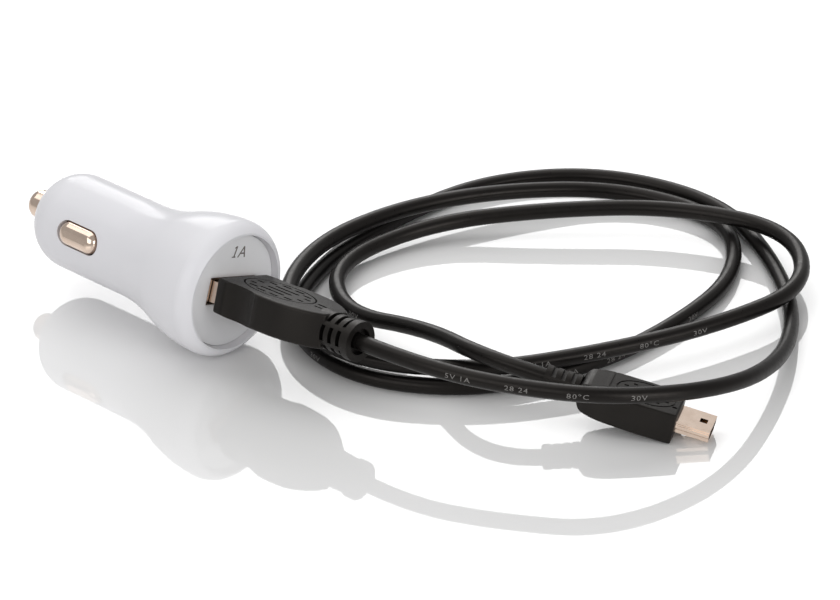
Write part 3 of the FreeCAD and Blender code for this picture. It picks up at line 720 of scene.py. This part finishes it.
def recut(node: str, name: str, place: Matrix, cutters: Sequence[bpy.types.Object],
          finish: bpy.types.Material) -> bpy.types.Object:
    """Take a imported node's shape and cut it into a finished piece.

    Args:
        node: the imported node.
        name: the new piece's name.
        place: the frame that the cutters are laid out in.
        cutters: the cutters, which are used up.
        finish: the piece's material.

    Returns:
        The new piece.
    """
    piece = merged_copy(node, name)
    piece.data.transform(place.inverted())
    carve(piece, joined(cutters, name + "_cutters"))
    piece.data.transform(place)
    smooth(piece)
    piece.data.materials.clear()
    piece.data.materials.append(finish)
    log.info("%s cut, %d faces", name, len(piece.data.polygons))
    return piece


@dataclass(frozen=True)
class Bar:
    """A round-ended mark sunk into a moulding's top."""

    length: float
    width: float
    x: float
    y: float

    def cutter(self, depth: float, height: float) -> bpy.types.Object:
        """Make the mark's cutter.

        Args:
            depth: the cutter's height.
            height: the cutter's middle along Z.

        Returns:
            The cutter.
        """
        return pill(self.length, self.width, depth, self.x, self.y, height)


@dataclass(frozen=True)
class GripField:
    """A sunk oval ring with rows of bars and an oval of short dashes inside it."""

    middle: float
    half_long: float
    half_wide: float
    groove_width: float
    depth: float
    mark_width: float
    row_length: float
    row_pitch: float
    row_lead: float
    dashes: int
    dashes_half_long: float
    dashes_half_wide: float
    dash_length: float
    dash_growth: float = 0.0
    row_step: float = 0.0
    rows: int = 3

    def cutters(self, height: float) -> list[bpy.types.Object]:
        """Make the field's cutters.

        Args:
            height: the cutters' middle along Z.

        Returns:
            The cutters.
        """
        marks = [Bar(self.row_length, self.mark_width,
                     self.middle + self.row_lead + self.row_step * row,
                     (row - (self.rows - 1) / 2) * self.row_pitch)
                 for row in range(self.rows)]
        for step in range(self.dashes):
            turn = math.tau * (step + 0.5) / self.dashes
            marks.append(Bar(self.dash_length + self.dash_growth * abs(math.sin(turn)),
                             self.mark_width,
                             self.middle + self.dashes_half_long * math.cos(turn),
                             self.dashes_half_wide * math.sin(turn)))
        ring = oval_ring(self.half_long, self.half_wide, self.groove_width, self.depth,
                         self.middle, height)
        return [ring, *(mark.cutter(self.depth, height) for mark in marks)]


# --- frames ---------------------------------------------------------------------

@dataclass(frozen=True)
class Frames:
    """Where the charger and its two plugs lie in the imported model."""

    roll: float = math.radians(-18.0)
    plug_tilt: float = math.radians(-2.0)
    plug_pivot: float = 5.9 * MM
    mini_spot: tuple[float, float] = (0.1191, 0.0382)
    mini_heading: float = math.radians(28.6)
    mini_pitch: float = math.radians(12.0)
    mini_half_high: float = 3.5 * MM
    floor_gap: float = 0.05 * MM

    def charger(self) -> Matrix:
        """Work out the charger's own frame.

        Returns:
            The frame, with X = 0 at the rim of the face, on the axis.
        """
        low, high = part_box("body_shell")
        middle = (low.z + high.z) / 2
        return Matrix.Translation((high.x, 0, middle)) @ Matrix.Rotation(self.roll, 4, "X")

    def plug(self) -> Matrix:
        """Work out the large plug's frame.

        Returns:
            The charger's frame, leaning a little in the port's play.
        """
        pivot = Vector((-self.plug_pivot, 0, 0))
        lean = Matrix.Rotation(self.plug_tilt, 4, "Y")
        return (self.charger() @ Matrix.Translation(pivot) @ lean
                @ Matrix.Translation(-pivot))

    def mini(self) -> Matrix:
        """Work out the small plug's frame.

        Returns:
            The frame, with X = 0 at the front of the moulding and the nose at +X.
        """
        rise = self.mini_half_high * math.cos(self.mini_pitch) + self.floor_gap
        return (Matrix.Translation((*self.mini_spot, rise))
                @ Matrix.Rotation(self.mini_heading, 4, "Z")
                @ Matrix.Rotation(self.mini_pitch, 4, "Y"))


# --- the lead ----------------------------------------------------------------------

@dataclass
class Lead:
    """The cord with its printed legend and the two moulded plugs on it."""

    shelf: FinishShelf
    frames: Frames
    diameter: float = 3.5 * MM
    length: float = 0.9471
    lead_out: float = 13.0 * MM
    relief_end: float = 35.5 * MM
    mini_relief_end: float = 28.5 * MM
    legend: tuple[str, ...] = ("5V 1A", "28 24", "80°C", "30V")
    legend_gap: float = 12.5 * MM
    legend_repeat: float = 92.0 * MM
    legend_start: float = 22.0 * MM
    legend_lean: float = math.radians(8.0)
    legend_height: float = 1.1 * MM
    legend_stretch: float = 1.3
    ink_lift: float = 0.012 * MM
    ink: PrintInk = PrintInk((0.24, 0.23, 0.22), (0.07, 0.066, 0.063))
    route: tuple[Point, ...] = (
        (0.0970, 0.0065, 0.0159), (0.1180, 0.0195, 0.0154), (0.1270, 0.0445, 0.0112),
        (0.1200, 0.0700, 0.0050), (0.1045, 0.0920, 0.0019), (0.0835, 0.1085, 0.0018),
        (0.0595, 0.1200, 0.0018), (0.0320, 0.1135, 0.0018), (0.0155, 0.0930, 0.0018),
        (0.0130, 0.0665, 0.0018), (0.0160, 0.0400, 0.0018), (0.0290, 0.0155, 0.0018),
        (0.0540, 0.0065, 0.0018), (0.0775, 0.0190, 0.0018), (0.0890, 0.0440, 0.0018),
        (0.0900, 0.0700, 0.0018), (0.0850, 0.0960, 0.0018), (0.0665, 0.1150, 0.0018),
        (0.0410, 0.1095, 0.0025), (0.0250, 0.0875, 0.0048), (0.0155, 0.0625, 0.0059),
        (0.0150, 0.0365, 0.0059), (0.0295, 0.0130, 0.0059), (0.0560, 0.0068, 0.0059),
        (0.0785, 0.0220, 0.0057), (0.0915, 0.0450, 0.0059), (0.1010, 0.0700, 0.0059),
        (0.1045, 0.0965, 0.0061), (0.0845, 0.1145, 0.0061), (0.0590, 0.1050, 0.0062),
        (0.0395, 0.0855, 0.0058), (0.0225, 0.0660, 0.0036), (0.0195, 0.0395, 0.0028),
        (0.0380, 0.0240, 0.0034), (0.0615, 0.0250, 0.0082),
    )

    def points(self) -> list[Vector]:
        """List the route's control points.

        Returns:
            The points, from the large plug's relief to the small one's.
        """
        plug, mini = self.frames.plug(), self.frames.mini()
        start = plug @ Vector((self.relief_end, 0, 0))
        start_out = plug @ Vector((self.relief_end + self.lead_out, 0, 0))
        end_out = mini @ Vector((-self.mini_relief_end - self.lead_out, 0, 0))
        end = mini @ Vector((-self.mini_relief_end, 0, 0))
        return [start, start_out, *map(Vector, self.route), end_out, end]

    def curve(self, name: str, thick: bool) -> bpy.types.Object:
        """Lay the route as one smooth open spline.

        Args:
            name: the object's name.
            thick: whether it has the cord's thickness or is a bare line.

        Returns:
            The curve.
        """
        data = bpy.data.curves.new(name, "CURVE")
        data.dimensions = "3D"
        points = self.points()
        spline = data.splines.new("NURBS")
        spline.points.add(len(points) - 1)
        for place, point in zip(spline.points, points):
            place.co = (*point, 1.0)
        spline.order_u = 3
        spline.use_endpoint_u = True
        spline.resolution_u = 14
        if thick:
            data.bevel_depth = self.diameter / 2
            data.bevel_resolution = 6
            data.use_fill_caps = True
        curve = bpy.data.objects.new(name, data)
        bpy.context.scene.collection.objects.link(curve)
        return curve

    def centreline(self) -> list[Vector]:
        """Read the spline back as a fine chain of points.

        Returns:
            The chain.
        """
        line = self.curve("cord_line", thick=False)
        bpy.context.view_layer.update()
        evaluated = line.evaluated_get(bpy.context.evaluated_depsgraph_get())
        mesh = bpy.data.meshes.new_from_object(evaluated)
        chain = [vertex.co.copy() for vertex in mesh.vertices]
        bpy.data.objects.remove(line)
        bpy.data.meshes.remove(mesh)
        return chain

    def make_cord(self) -> bpy.types.Object:
        """Make the cord itself.

        Returns:
            The cord.
        """
        cord = self.curve("lead_cord", thick=True)
        cord.data.materials.append(self.shelf.of(Slot.BLACK_CORD))
        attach(cord, Body.LEAD.value)
        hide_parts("cord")
        log.info("cord laid through %d points", len(self.points()))
        return cord

    def wrapped(self, text: str, start: float, chain: Sequence[Vector],
                reach: Sequence[float]) -> bpy.types.Object:
        """Print one word on the cord's side.

        Args:
            text: the word.
            start: how far along the cord it begins.
            chain: the cord's centre line.
            reach: the length of the line up to each of its points.

        Returns:
            The printed word.
        """
        data = bpy.data.curves.new("legend", "FONT")
        data.body = text
        data.size = self.legend_height / CAPITAL
        data.space_character = 1.12
        data.resolution_u = 2
        word = bpy.data.objects.new("legend", data)
        bpy.context.scene.collection.objects.link(word)
        take_up(word)
        bpy.ops.object.convert(target="MESH")
        word = bpy.context.object
        bpy.ops.object.mode_set(mode="EDIT")
        bpy.ops.mesh.select_all(action="SELECT")
        bpy.ops.mesh.subdivide(number_cuts=2)
        bpy.ops.object.mode_set(mode="OBJECT")
        radius = self.diameter / 2
        skin = radius + self.ink_lift
        for vertex in word.data.vertices:
            along = start + vertex.co.x * self.legend_stretch
            index = next(i for i, far in enumerate(reach) if far >= along)
            before, after = chain[index - 1], chain[index]
            share = (along - reach[index - 1]) / (reach[index] - reach[index - 1])
            middle = before.lerp(after, share)
            tangent = (after - before).normalized()
            side = tangent.cross(Vector((0, 0, 1))).normalized()
            rise = side.cross(tangent)
            turn = self.legend_lean + (vertex.co.y - self.legend_height / 2) / radius
            vertex.co = middle + skin * (side * math.cos(turn) + rise * math.sin(turn))
        return word

    def make_legend(self) -> bpy.types.Object:
        """Print the ratings in pale ink, over and over along the cord.

        Returns:
            The print.
        """
        chain = self.centreline()
        reach = [0.0]
        for before, after in zip(chain, chain[1:]):
            reach.append(reach[-1] + (after - before).length)
        words = []
        start = self.legend_start
        while start + self.legend_repeat < reach[-1]:
            for index, text in enumerate(self.legend):
                words.append(self.wrapped(text, start + index * self.legend_gap, chain, reach))
            start += self.legend_repeat
        legend = joined(words, "cord_legend")
        legend.data.materials.clear()
        legend.data.materials.append(self.ink.make("finish_cord_ink"))
        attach(legend, Body.LEAD.value)
        log.info("cord printed with %d words", len(words))
        return legend


@dataclass
class LargePlug:
    """The large plug's moulding: grip fields, finger valleys and a slotted relief."""

    shelf: FinishShelf
    frames: Frames
    top: float = 3.75 * MM
    half_wide: float = 7.75 * MM
    grip_field: GripField = GripField(
        middle=11.9 * MM, half_long=8.9 * MM, half_wide=5.5 * MM, groove_width=0.36 * MM,
        depth=1.8 * MM, mark_width=0.65 * MM, row_length=6.8 * MM, row_pitch=1.9 * MM,
        row_lead=-0.6 * MM, row_step=0.4 * MM, dashes=12, dashes_half_long=6.9 * MM,
        dashes_half_wide=4.2 * MM, dash_length=1.5 * MM, dash_growth=1.2 * MM)
    tail_bars: tuple[Bar, ...] = (Bar(5.0 * MM, 0.7 * MM, 24.0 * MM, 1.2 * MM),
                                  Bar(2.4 * MM, 0.5 * MM, 23.4 * MM, -0.7 * MM))
    valley_depth: float = 0.55 * MM
    valley_radius: float = 13.0 * MM
    valley_middle: float = 7.4 * MM
    slots: int = 3
    slot_first: float = 28.26 * MM
    slot_pitch: float = 2.175 * MM
    slot_length: float = 0.98 * MM
    slot_bite: float = 1.9 * MM
    slot_height: float = 3.3 * MM
    slot_out: float = 3.5 * MM
    relief_end: float = 35.5 * MM
    mouth_radius: float = 2.3 * MM
    mouth_width: float = 1.0 * MM
    mouth_depth: float = 2.4 * MM

    def marks(self) -> list[bpy.types.Object]:
        """Make everything that is cut out of the moulding.

        Returns:
            The cutters.
        """
        cutters = []
        for side in (-1, 1):
            height = side * self.top
            cutters.extend(self.grip_field.cutters(height))
            cutters.extend(bar.cutter(self.grip_field.depth, height) for bar in self.tail_bars)
        cutters.append(self.cord_mouth())
        for side in (-1, 1):
            cutters.append(self.side_valley(side))
            cutters.extend(pill(self.slot_length, self.slot_bite, self.slot_height,
                                self.slot_first + step * self.slot_pitch,
                                side * self.slot_out, 0)
                           for step in range(self.slots))
        return cutters

    def side_valley(self, side: int) -> bpy.types.Object:
        """Make the cutter of the shallow finger valley in one side.

        Args:
            side: -1 for the near side, 1 for the far one.

        Returns:
            The cutter, a tall upright drum.
        """
        clear_selection()
        reach = self.half_wide - self.valley_depth + self.valley_radius
        bpy.ops.mesh.primitive_cylinder_add(vertices=160, radius=self.valley_radius,
                                            depth=4 * self.top,
                                            location=(self.valley_middle, side * reach, 0))
        drum = bpy.context.object
        settle(drum, Matrix.Identity(4))
        return drum

    def cord_mouth(self) -> bpy.types.Object:
        """Make the cutter of the round recess that the cord comes out of.

        Returns:
            The cutter.
        """
        mouth = oval_ring(self.mouth_radius, self.mouth_radius, self.mouth_width,
                          self.mouth_depth, 0, 0)
        settle(mouth, Matrix.Translation((self.relief_end, 0, 0))
               @ Matrix.Rotation(math.pi / 2, 4, "Y"))
        return mouth

    def make_grip(self) -> bpy.types.Object:
        """Cut the moulding's own shape.

        Returns:
            The moulding.
        """
        grip = recut("usb_a_overmould", "large_plug_grip", self.frames.plug(), self.marks(),
                     self.shelf.of(Slot.BLACK_GRIP))
        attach(grip, Body.LEAD.value)
        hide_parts("usb_a_overmould")
        return grip


@dataclass
class SmallPlug:
    """The small plug's moulding: grip fields, a crease, a pip and a rounded rear."""

    shelf: FinishShelf
    frames: Frames
    top: float = 3.5 * MM
    rear: float = -21.0 * MM
    rear_radius: float = 2.4 * MM
    corner_width: float = 12.0 * MM
    corner_spare: float = 0.3 * MM
    corner_lap: float = 0.02 * MM
    grip_field: GripField = GripField(
        middle=-7.6 * MM, half_long=6.2 * MM, half_wide=3.9 * MM, groove_width=0.34 * MM,
        depth=0.5 * MM, mark_width=0.5 * MM, row_length=4.4 * MM, row_pitch=1.45 * MM,
        row_lead=-0.3 * MM, dashes=10, dashes_half_long=4.7 * MM, dashes_half_wide=2.75 * MM,
        dash_length=1.0 * MM)
    crease: Bar = Bar(0.5 * MM, 9.0 * MM, -15.0 * MM, 1.5 * MM)
    pip: Bar = Bar(1.1 * MM, 0.6 * MM, -1.15 * MM, -1.9 * MM)
    pip_depth: float = 0.8 * MM

    def marks(self) -> list[bpy.types.Object]:
        """Make everything that is cut out of the moulding.

        Returns:
            The cutters.
        """
        cutters = []
        for side in (-1, 1):
            cutters.extend(self.grip_field.cutters(side * self.top))
            cutters.append(self.rear_corner(side))
        cutters.append(self.pip.cutter(self.pip_depth, self.top))
        cutters.append(self.crease.cutter(self.grip_field.depth, self.top))
        return cutters

    def rear_corner(self, side: int) -> bpy.types.Object:
        """Make the cutter that rounds the moulding's rear edge above or below.

        Args:
            side: 1 for the upper edge, -1 for the lower one.

        Returns:
            The cutter, a bar with a hollow round face.
        """
        radius, wide, spare = self.rear_radius, self.corner_width, self.corner_spare
        clear_selection()
        bpy.ops.mesh.primitive_cube_add(
            size=1.0, location=(self.rear + radius / 2, 0,
                                side * (self.top + (spare - radius) / 2)))
        bar = bpy.context.object
        bar.scale = (radius + self.corner_lap, wide, radius + spare)
        bpy.ops.object.transform_apply(location=True, rotation=False, scale=True)
        bpy.ops.mesh.primitive_cylinder_add(
            vertices=72, radius=radius, depth=2 * wide, rotation=(math.pi / 2, 0, 0),
            location=(self.rear + radius, 0, side * (self.top - radius)))
        drum = bpy.context.object
        bpy.ops.object.transform_apply(location=True, rotation=True, scale=True)
        carve(bar, drum)
        return bar

    def make_grip(self) -> bpy.types.Object:
        """Cut the moulding's own shape.

        Returns:
            The moulding.
        """
        grip = recut("mini_b_overmould", "small_plug_grip", self.frames.mini(), self.marks(),
                     self.shelf.of(Slot.BLACK_GRIP))
        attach(grip, Body.LEAD.value)
        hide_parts("mini_b_overmould")
        return grip


@dataclass
class SmallNose:
    """The small plug's bright nose, with the folded seam along its sides."""

    shelf: FinishShelf
    frames: Frames
    half_wide: float = 3.4 * MM
    length: float = 7.2 * MM
    seam_margins: tuple[float, float] = (0.3 * MM, 0.1 * MM)
    seam_bite: float = 0.16 * MM
    seam_width: float = 0.1 * MM
    seam_heights: tuple[float, float] = (0.55 * MM, 0.95 * MM)

    def make_shell(self) -> bpy.types.Object:
        """Score the seams into the shell's own shape.

        Returns:
            The shell.
        """
        behind, before = self.seam_margins
        middle = (self.length + behind - before) / 2
        seams = [pill(self.length - behind - before, self.seam_bite, self.seam_width, middle,
                      side * self.half_wide, height)
                 for side in (-1, 1) for height in self.seam_heights]
        shell = recut("mini_b_shell", "small_plug_nose", self.frames.mini(), seams,
                      self.shelf.of(Slot.NICKEL))
        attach(shell, Body.LEAD.value)
        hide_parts("mini_b_shell")
        return shell


# --- the charger ---------------------------------------------------------------------

@dataclass
class Charger:
    """The charger's own nodes, dressed, and the rating printed on its face."""

    shelf: FinishShelf
    frames: Frames
    mark_text: str = "1A"
    mark_height: float = 2.6 * MM
    mark_base: float = 7.15 * MM
    mark_middle: float = 0.1 * MM
    mark_slant: float = 0.2
    stroke: float = 0.24 * MM
    serif: float = 1.15 * MM
    flag: float = 0.75 * MM
    flag_fall: float = math.radians(38.0)
    ink_half_depth: float = 0.015 * MM
    ink: PrintInk = PrintInk((0.17, 0.145, 0.13), (0.12, 0.105, 0.095))

    def dress(self) -> None:
        """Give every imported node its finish."""
        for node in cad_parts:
            self.shelf.dress(node)

    def make_mark(self) -> bpy.types.Object:
        """Print the output rating on the disc above the port.

        Returns:
            The print.
        """
        data = bpy.data.curves.new("rating", "FONT")
        data.body = self.mark_text
        data.align_x = "CENTER"
        data.size = self.mark_height / CAPITAL
        data.shear = self.mark_slant
        data.space_character = 1.08
        data.extrude = self.ink_half_depth
        data.resolution_u = 8
        word = bpy.data.objects.new("face_rating", data)
        bpy.context.scene.collection.objects.link(word)
        take_up(word)
        bpy.ops.object.convert(target="MESH")
        word = bpy.context.object
        left = min(vertex.co.x for vertex in word.data.vertices
                   if vertex.co.y < 0.05 * self.mark_height)
        foot = left + self.stroke / 2
        head = foot + self.mark_slant * self.mark_height
        thick = 2 * self.ink_half_depth
        serif = pill(self.serif, self.stroke, thick, foot, self.stroke / 2, 0)
        flag = pill(self.flag, self.stroke, thick, -self.flag / 2, 0, 0)
        settle(flag, Matrix.Translation((head, self.mark_height - self.stroke / 2, 0))
               @ Matrix.Rotation(self.flag_fall, 4, "Z"))
        word = joined((word, serif, flag), "face_rating")
        face = self.frames.charger().inverted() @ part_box("face_plate")[1]
        upright = Matrix(((0, 0, 1, face.x), (1, 0, 0, self.mark_middle),
                          (0, 1, 0, self.mark_base), (0, 0, 0, 1)))
        settle(word, self.frames.charger() @ upright)
        word.data.materials.clear()
        word.data.materials.append(self.ink.make("finish_face_ink"))
        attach(word, Body.CHARGER.value)
        log.info("face printed with %s", self.mark_text)
        return word


# --- studio ---------------------------------------------------------------------

@dataclass(frozen=True)
class Softbox:
    """One rectangular soft light."""

    name: str
    spot: Point
    size: tuple[float, float]
    watts: float

    def hang(self, aim: Point) -> None:
        """Hang the light, turned to a point.

        Args:
            aim: the point that it faces.
        """
        data = bpy.data.lights.new(self.name, "AREA")
        data.shape = "RECTANGLE"
        data.size, data.size_y = self.size
        data.energy = self.watts
        light = bpy.data.objects.new(self.name, data)
        light.location = self.spot
        toward = Vector(aim) - Vector(self.spot)
        light.rotation_euler = toward.to_track_quat("-Z", "Y").to_euler()
        bpy.context.scene.collection.objects.link(light)


@dataclass
class Studio:
    """Camera, soft lights and the pale floor."""

    camera_spot: Point = (0.7887, -0.7426, 0.5762)
    camera_tilt: float = math.radians(62.04)
    camera_turn: float = math.radians(43.54)
    lens: float = 248.2
    floor_size: float = 6.0
    floor_cells: int = 12
    room_light: float = 0.42
    aim: Point = (0.05, 0.04, 0.01)
    softboxes: tuple[Softbox, ...] = (
        Softbox("back_box", (-0.84, 0.81, 0.62), (0.66, 0.62), 4.0),
        Softbox("top_box", (-0.25, 0.10, 0.80), (1.2, 0.8), 3.3),
        Softbox("front_box", (0.20, -0.95, 0.55), (1.0, 0.7), 3.2),
        Softbox("fill_box", (-0.29, 1.05, 0.71), (0.5, 0.5), 0.26),
        Softbox("face_box", (1.15, -0.05, 0.35), (0.7, 0.6), 3.8),
    )

    def make_camera(self) -> None:
        """Set the camera at the viewing angle."""
        data = bpy.data.cameras.new("camera")
        data.lens = self.lens
        data.sensor_width = 36.0
        data.clip_start = 0.01
        camera = bpy.data.objects.new("camera", data)
        camera.location = self.camera_spot
        camera.rotation_euler = (self.camera_tilt, 0, self.camera_turn)
        bpy.context.scene.collection.objects.link(camera)
        bpy.context.scene.camera = camera

    def make_lights(self) -> None:
        """Fill the room with even white light and hang the softboxes."""
        world = bpy.data.worlds.new("studio")
        world.use_nodes = True
        background = world.node_tree.nodes["Background"]
        background.inputs["Color"].default_value = (1.0, 1.0, 1.0, 1.0)
        background.inputs["Strength"].default_value = self.room_light
        bpy.context.scene.world = world
        bpy.context.scene.view_settings.view_transform = "Standard"
        for box in self.softboxes:
            box.hang(self.aim)

    def make_floor(self) -> None:
        """Lay the pale polished sheet that everything stands on."""
        clear_selection()
        low = CAD_BOX[0][2]
        bpy.ops.mesh.primitive_grid_add(x_subdivisions=self.floor_cells,
                                        y_subdivisions=self.floor_cells,
                                        size=self.floor_size, location=(0, 0, low))
        floor = bpy.context.object
        floor.name = "floor_sheet"
        settle(floor, Matrix.Identity(4))
        floor.data.materials.append(FloorAcrylic().make("finish_floor"))


def declare_cord(lead: Lead) -> None:
    """Work out the first point of the cord's route, which is then left unused.

    Args:
        lead: the lead's sizes.
    """
    tuple(lead.points()[0])


def main() -> None:
    """Build the sub-assemblies in order; all but the studio log what they made."""
    logging.basicConfig(level=logging.INFO, format="%(name)s: %(message)s")
    frames = Frames()
    shelf = FinishShelf()
    studio = Studio()
    studio.make_camera()
    studio.make_lights()
    studio.make_floor()
    lead = Lead(shelf, frames)
    cord = lead.make_cord()
    legend = lead.make_legend()
    charger = Charger(shelf, frames)
    charger.dress()
    charger.make_mark()
    large_grip = LargePlug(shelf, frames).make_grip()
    small_grip = SmallPlug(shelf, frames).make_grip()
    small_nose = SmallNose(shelf, frames).make_shell()
    declare_cord(lead)


if __name__ == "__main__":
    main()
